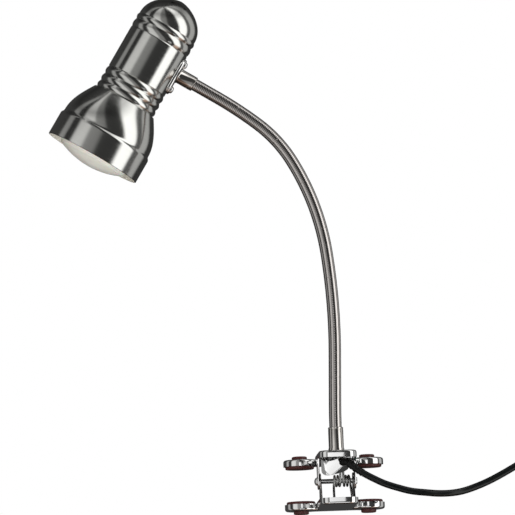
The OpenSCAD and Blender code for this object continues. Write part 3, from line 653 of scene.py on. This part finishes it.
for i in range(1, 9):
    start, end = SEGMENT * (i - 1), min(SEGMENT * i, stations[-1][0])
    skin = [station for station in stations if start - 1e-6 <= station[0] <= end + 1e-6]
    bore = (skin[::20] + [skin[-1]])[::-1]
    hose = bmesh.new()
    bridge(hose, [hose_ring(hose, station, False) for station in skin]
           + [hose_ring(hose, station, True) for station in bore], closed=True)
    gooseneck = put("gooseneck_%d" % i, moved(hose, FOOT), [hose_metal], smooth=180)
    lean = min(stations, key=lambda station: abs(station[0] - (SEGMENT * i - SEGMENT / 2)))[3]
    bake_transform(gooseneck)
    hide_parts(*(["hose_0", "hose_1"] if i == 1 else ["hose_%d" % i]))

BASE_FERRULE = [(3.1, 29), (5.7, 29), (6, 28.7), (6, 27.6), (5.75, 27.3), (6, 27), (6, 12.6), (6.35, 11.8),
                (6.35, 9.6), (4.9, 9.6), (4.9, 3.4), (3.1, 3.4)]
piece(put("base_collar", moved(lathe(BASE_FERRULE, 64, closed=True), FOOT), [plate]),
      "clamp", "nickel_plate", "base_ferrule")


# ---- clamp -------------------------------------------------------------------

# PLATE is the height of a plate's top over its pads' gripping faces, RISE the upper tongue's step up
BOARD, EAR_X, EAR_R, PLATE, SHEET, RISE = 26.0, 27.0, 13.0, 7.6, 1.2, 2.0
TONGUE_HALF, RIM_HIGH, ROLL_R, LUG_HALF_SHEET = 15.3, 5.4, 1.9, 0.6
PIN_Y, PIN_Z, LUG_R = -39, -13, 6.5
# These stand a prism up: the two directions of its plan become Y and Z, or X and Z
TO_YZ = Matrix(((0, 0, 1, 0), (1, 0, 0, 0), (0, 1, 0, 0), (0, 0, 0, 1)))
TO_XZ = Matrix(((1, 0, 0, 0), (0, 0, 1, 0), (0, 1, 0, 0), (0, 0, 0, 1)))
# Mirrors a piece in the middle of the gripped board, so an upper piece becomes a lower one
FLIP = Matrix.Scale(-1, 4, (0, 0, 1)) @ at(0, 0, BOARD)


def ear_outline():
    """The plan of the plate across both ears, with fillets to the bar between them."""
    fillet, bar = 8.0, 8.5
    fillet_x = EAR_X - math.sqrt((EAR_R + fillet) ** 2 - (bar + fillet) ** 2)
    touch = math.degrees(math.atan2(bar + fillet, fillet_x - EAR_X))
    quarter = arc(EAR_X, 0, EAR_R, 0, touch, 24)
    quarter += arc(fillet_x, bar + fillet, fillet, touch - 180, -90, 8)[1:]
    half = quarter + [(-x, y) for x, y in quarter[::-1]]
    return half + [(-x, -y) for x, y in half[1:-1]]


def rounded(x0, x1, y0, y1, r):
    """A rectangle with round corners."""
    return (arc(x1 - r, y1 - r, r, 0, 90, 10) + arc(x0 + r, y1 - r, r, 90, 180, 10)
            + arc(x0 + r, y0 + r, r, 180, 270, 10) + arc(x1 - r, y0 + r, r, 270, 360, 10))


def inset(outline, distance):
    """The outline moved inwards."""
    points = []
    for i, (x, y) in enumerate(outline):
        before, after = Vector(outline[i - 1]), Vector(outline[(i + 1) % len(outline)])
        along = (after - before).normalized()
        points.append((x - along.y * distance, y + along.x * distance))
    return points


def pressed(outline, top, drop):
    """A pressed sheet plate with a rolled edge. drop tells which faces are left out, by their middle."""
    bm = bmesh.new()
    levels = []
    for inwards, radius in ((0, ROLL_R), (SHEET, ROLL_R - SHEET)):
        levels.append([(inwards, top - RIM_HIGH), (inwards, top - ROLL_R)]
                      + [(inwards + radius * (1 - math.cos(math.radians(a))),
                          top - ROLL_R + radius * math.sin(math.radians(a))) for a in range(15, 91, 15)])
    outside, inside = levels
    rings = [[bm.verts.new((x, y, z)) for x, y in inset(outline, d)] for d, z in inside[::-1] + outside]
    bm.faces.new(rings[0])
    bm.faces.new(rings[-1])
    bridge(bm, rings)
    dropped = [face for face in bm.faces if drop(face.calc_center_median())]
    bmesh.ops.delete(bm, geom=dropped, context="FACES_ONLY")
    return bm


def lug(x, top):
    """A flat lug that runs from the tongue down to the pin."""
    outline = [(-31, top - 1), (-58, top - 1), (-54.5, top - 6)]
    outline += [(PIN_Y + LUG_R * math.cos(math.radians(a)), PIN_Z + LUG_R * math.sin(math.radians(a)))
                for a in range(200, 345, 12)] + [(-31, top - 6)]
    return moved(prism(outline, -LUG_HALF_SHEET, LUG_HALF_SHEET, 0.25, 2), at(x, 0, 0) @ TO_YZ)


def jaw(rise, lug_x):
    """A plate with its ears, its finger tongue and its two lugs, open where ears and tongue meet."""
    ears = pressed(ear_outline(), PLATE,
                   lambda mid: abs(mid.x) < TONGUE_HALF - 1.5 and mid.y < -7 and mid.z < PLATE - 0.5)
    top = PLATE + rise
    tongue = pressed(rounded(-TONGUE_HALF, TONGUE_HALF, -72, -8, 8), top, lambda mid: mid.y > -16)
    step_half = TONGUE_HALF - ROLL_R
    step = prism([(-step_half, -8), (step_half, -8), (step_half, -17.5), (-step_half, -17.5)],
                 PLATE - SHEET, top if rise else PLATE - 0.01, 0.4, 2)
    return join(ears, tongue, step, lug(lug_x, top), lug(-lug_x, top))


def web():
    """The upright wall under the tongue, with a scoop where the lead comes out."""
    outline = [(-13, 8.4), (-13, -6), (-12.6, -7.4), (-11.6, -8.6), (-10.2, -9.4), (-8.4, -9.7), (-6, -9.6),
               (-3, -9.3), (0, -8.7), (3, -7.9), (6, -6.7), (8, -5.4), (9, -4), (9.2, -2.6)]
    outline += [(6.6 + 5.4 * math.cos(math.radians(a)) * 1.15 - 1.2 * math.sin(math.radians(a)),
                 0.6 + 4.2 * math.sin(math.radians(a)) - 1.6 * math.cos(math.radians(a)))
                for a in range(235, 74, -20)]
    outline += [(10.5, 4.8), (12, 5.4), (12, 8.4)]
    return moved(prism(outline, -0.5, 0.5, 0.22, 2), at(0, -59, 0) @ TO_XZ)


def pads():
    """The upper jaw's two pads, each with the button that holds it in its hole."""
    profile = [(0, 0), (10.9, 0), (11.5, 0.6), (11.5, 5.6), (11.0, 6.3), (4.3, 6.4), (4.3, 7.7), (5.9, 7.7),
               (6.1, 7.9), (6.1, 9.5), (5.8, 10.0), (5.0, 10.3), (3.4, 10.15), (3.0, 9.9), (0, 9.9)]
    return join(*[moved(lathe(profile, 64), at(side * EAR_X, 0, 0)) for side in (-1, 1)])


piece(put("upper_clamp_plate", join(jaw(RISE, TONGUE_HALF - 0.62), web()), [bright], CLAMP, smooth=32),
      "clamp", "chrome", "upper_jaw")
piece(put("lower_clamp_plate", moved(jaw(0, TONGUE_HALF - 2.12), FLIP), [bright], CLAMP, smooth=32),
      "lower_jaw", "chrome", "lower_jaw")
piece(put("upper_rubber_pads", pads(), [pad_rubber], CLAMP), "clamp", "pad_rubber", "upper_pads")
piece(put("lower_rubber_pads", moved(pads(), FLIP), [pad_rubber], CLAMP),
      "lower_jaw", "pad_rubber", "lower_pads")

RIVET_R = 3.4
rivet = [(0, -17.9)] + [(RIVET_R * math.sin(math.radians(a)), -15.4 - 2.5 * math.cos(math.radians(a)))
                        for a in range(10, 91, 10)]
rivet += [(RIVET_R, -15.4), (1.9, -15.4), (1.9, 15.4), (2.9, 15.4), (2.9, 15.9), (2.4, 16.4), (0, 16.4)]
piece(put("pivot_rivet", moved(lathe(rivet, 40), at(0, PIN_Y, PIN_Z) @ turn(90, "Y")), [bright], CLAMP),
      "clamp", "chrome", "pivot_pin")

# The spring: two turns on each side of a loop that bears on the upper jaw, and a leg on each side
SPRING_X, SPRING_HALF, SPRING_R, LOOP, WIRE_R, STEPS = 4, 6.2, 4.0, 1.2, 0.97, 24
loop_z, leg_z = PLATE + RISE - SHEET - 1.15, -BOARD - PLATE + SHEET + 1.15
left = [(-SPRING_HALF - 1.2, -60, leg_z), (-SPRING_HALF - 1.1, -56, leg_z + 0.6),
        (-SPRING_HALF - 0.6, PIN_Y - SPRING_R - 1.6, PIN_Z - 6)]
left += [(-SPRING_HALF + (SPRING_HALF - LOOP) * i / STEPS,
          PIN_Y + SPRING_R * math.cos(math.radians(180 - 30 * i)),
          PIN_Z + SPRING_R * math.sin(math.radians(180 - 30 * i))) for i in range(STEPS + 1)]
left += [(-LOOP, -43, -9), (-LOOP, -42.6, -2), (-LOOP, -42.2, 5), (-0.7, -42, loop_z)]
wire = catmull(left + [(-x, y, z) for x, y, z in left[::-1]], 3)
coiled = moved(tube(wire, [WIRE_R] * len(wire), 12, Vector((1, 0, 0))), at(SPRING_X, 0, 0))
spring = put("clamp_spring", coiled, [zinc], CLAMP)
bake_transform(spring)
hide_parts("jaw_spring")


# ---- stage -------------------------------------------------------------------

def staged(name, bm, color, place=None):
    """A pale thing to stand on, which the lamp doesn't mirror."""
    surface = material(name, color, rough=0.9, spread=0.02, scale=8, tint=0.01)
    obj = put(name, bm, [surface], place)
    obj.visible_glossy = False


FLOOR_HALF, FLOOR_Z = 6000, -720
floor_plan = [(-FLOOR_HALF, -FLOOR_HALF), (FLOOR_HALF, -FLOOR_HALF), (FLOOR_HALF, FLOOR_HALF),
              (-FLOOR_HALF, FLOOR_HALF)]
staged("stage_floor", prism(floor_plan, FLOOR_Z - 1, FLOOR_Z), (0.86, 0.86, 0.855))
staged("stage_shelf", prism(rounded(162, 345, -50, 58, 3), -20, -0.05, 0.8, 2), (0.82, 0.82, 0.81), CLAMP)


# ---- light -------------------------------------------------------------------

# The panels and flags of the studio that the lamp mirrors: degrees to the right of the camera, brightness
BANDS = [(-180, 0.05), (-112, 0.06), (-104, 0.42), (-90, 0.42), (-84, 0.04), (-66, 0.04), (-58, 0.8),
         (-32, 0.75), (-26, 0.30), (-6, 0.26), (2, 0.05), (40, 0.04), (47, 1.7), (76, 1.6), (82, 0.12),
         (94, 0.12), (99, 0.55), (122, 0.5), (130, 0.04), (180, 0.05)]
# What multiplies them, from 0 straight below to 1 straight above
HEIGHTS = [(0.0, (0.25, 0.17, 0.13, 1)), (0.10, (0.4, 0.28, 0.22, 1)), (0.2, (1, 1, 1, 1)),
           (0.75, (1, 1, 1, 1)), (0.88, (0.5, 0.5, 0.5, 1)), (1.0, (1.0, 1.0, 1.0, 1))]


def colored_ramp(tree, stops, value):
    """A colour ramp of (position, colour) stops, the first at 0 and the last at 1."""
    ramp = add_node(tree, "ValToRGB", {"Fac": value})
    elements = ramp.color_ramp.elements
    elements[0].color = stops[0][1]
    elements[-1].color = stops[-1][1]
    for position, color in stops[1:-1]:
        elements.new(position).color = color
    return ramp.outputs["Color"]


world = bpy.data.worlds.new("studio")
scene.world = world
world.use_nodes = True
sky = world.node_tree
sky.nodes.clear()
coord = add_node(sky, "TexCoord")
around = add_node(sky, "SeparateXYZ", {"Vector": coord.outputs["Generated"]})
minus_y = add_node(sky, "Math", {0: around.outputs["Y"], 1: -1}, operation="MULTIPLY")
azimuth = add_node(sky, "Math", {0: around.outputs["X"], 1: minus_y.outputs[0]}, operation="ARCTAN2")
circle_part = add_node(sky, "MapRange", {"From Min": -math.pi, "From Max": math.pi,
                                         "Value": azimuth.outputs[0]})
height_part = add_node(sky, "MapRange", {"From Min": -1, "From Max": 1, "Value": around.outputs["Z"]})
panels = [((degrees + 180) / 360, (level, level, level * 0.985, 1)) for degrees, level in BANDS[1:-1]]
panels = [(0.0, (BANDS[0][1],) * 3 + (1,))] + panels + [(1.0, (BANDS[-1][1],) * 3 + (1,))]
lit_color = add_node(sky, "Mix", {0: 1.0, 6: colored_ramp(sky, panels, circle_part.outputs["Result"]),
                                  7: colored_ramp(sky, HEIGHTS, height_part.outputs["Result"])},
                     data_type="RGBA", blend_type="MULTIPLY")
lit = add_node(sky, "Background", {"Strength": 1.0, "Color": lit_color.outputs[2]})
seen = add_node(sky, "Background", {"Strength": 1.0, "Color": (1, 1, 1, 1)})
path = add_node(sky, "LightPath")
mix = add_node(sky, "MixShader", {"Fac": path.outputs["Is Camera Ray"],
                                  1: lit.outputs[0], 2: seen.outputs[0]})
add_node(sky, "OutputWorld", {"Surface": mix.outputs[0]})


def area(name, place, target, size, watts, mirrored=False):
    """A rectangular light that the camera doesn't see, and that the lamp mirrors only if told."""
    data = bpy.data.lights.new(name, "AREA")
    data.shape, data.size, data.size_y = "RECTANGLE", size[0], size[1]
    data.energy = watts
    light = bpy.data.objects.new(name, data)
    scene.collection.objects.link(light)
    light.location = place
    light.visible_camera, light.visible_glossy = False, mirrored
    light.rotation_mode = "QUATERNION"
    light.rotation_quaternion = (Vector(target) - Vector(place)).to_track_quat("-Z", "Y")


area("key", (-1.2, -2.0, 1.6), (0, 0, 0.15), (0.9, 0.9), 34)
area("fill", (1.6, -1.8, 0.5), (0, 0, 0.15), (0.9, 1.2), 14)
area("low", (-0.4, -1.6, -0.5), (-0.1, 0, 0.2), (0.8, 0.5), 8)
area("back", (0.3, 2.2, 1.4), (0, 0, 0.15), (1.4, 0.9), 20)
area("clamp front", (0.012, -0.40, 0.04), (0.027, -0.05, 0.0), (0.11, 0.07), 0.023, mirrored=True)
area("clamp low", (0.02, -0.38, -0.03), (0.027, -0.05, -0.03), (0.09, 0.05), 0.012, mirrored=True)
area("clamp under", (0.03, -0.30, -0.30), (0.027, -0.03, -0.03), (0.22, 0.14), 0.12, mirrored=True)
